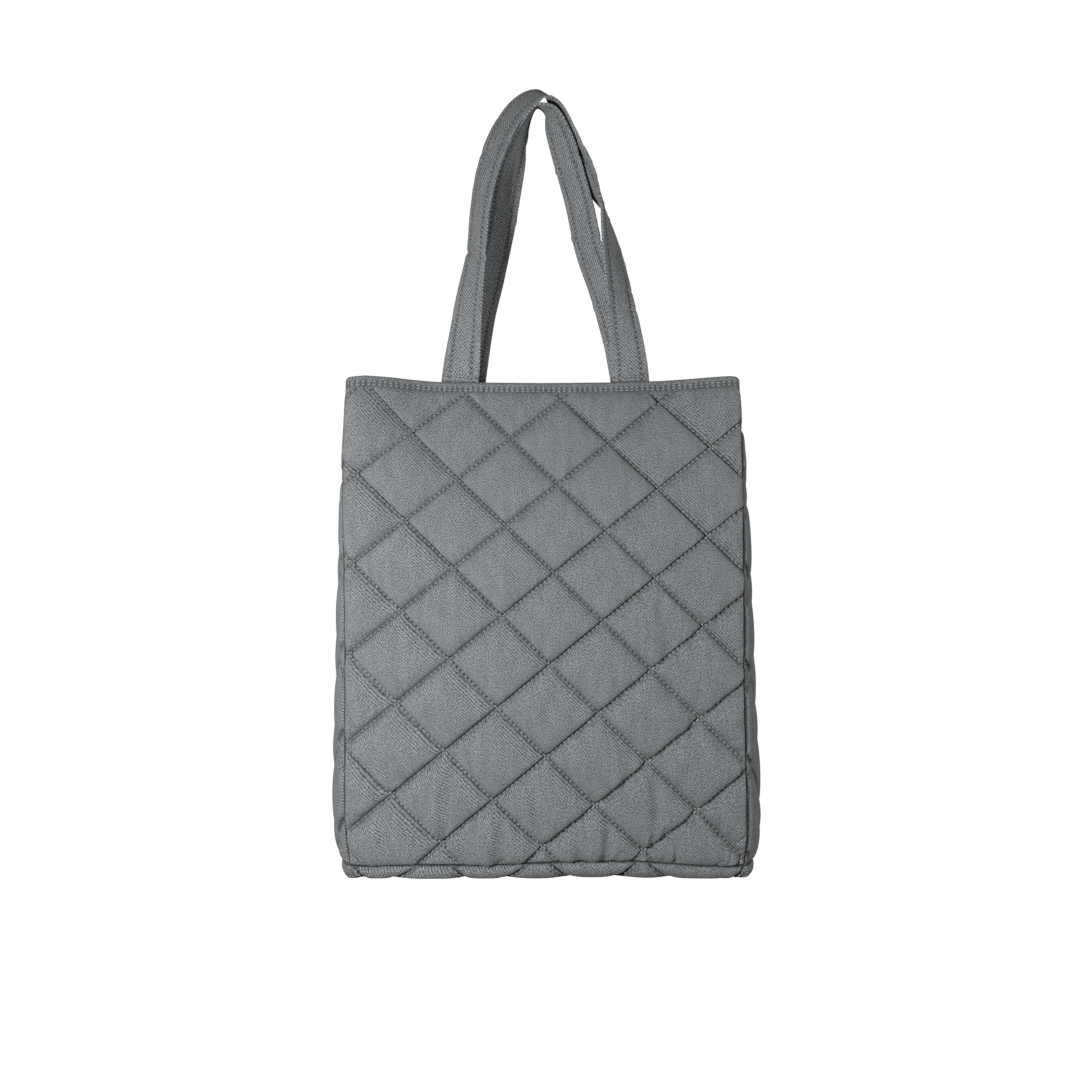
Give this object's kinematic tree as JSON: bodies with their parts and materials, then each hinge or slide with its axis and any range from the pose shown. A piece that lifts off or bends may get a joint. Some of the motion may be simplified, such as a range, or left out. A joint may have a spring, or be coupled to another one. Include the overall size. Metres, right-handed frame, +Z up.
{
  "type": "quilted tote bag",
  "caption": "Upright open-topped tote of padded diamond-quilted cloth with side and bottom gussets and two long self-fabric straps drawn up to a peak.",
  "frame": {"origin": "the hang point: the underside of the inner handle's peak, where a hook or thread carries the bag", "axes": "+Z up, +X to the right as the front panel is seen, the front panel facing -Y"},
  "size_m": [0.3548, 0.1298, 0.6448],
  "materials": {
    "quilted_cloth": "matt grey twill, quilted over soft padding",
    "strap_cloth": "matt grey twill, folded and topstitched"
  },
  "bodies": {
    "root": {"front_panel": "quilted_cloth", "back_panel": "quilted_cloth", "side_gusset_right": "quilted_cloth", "side_gusset_left": "quilted_cloth", "bottom_gusset": "quilted_cloth", "handle_front": "strap_cloth", "handle_back": "strap_cloth"}
  },
  "joints": []
}
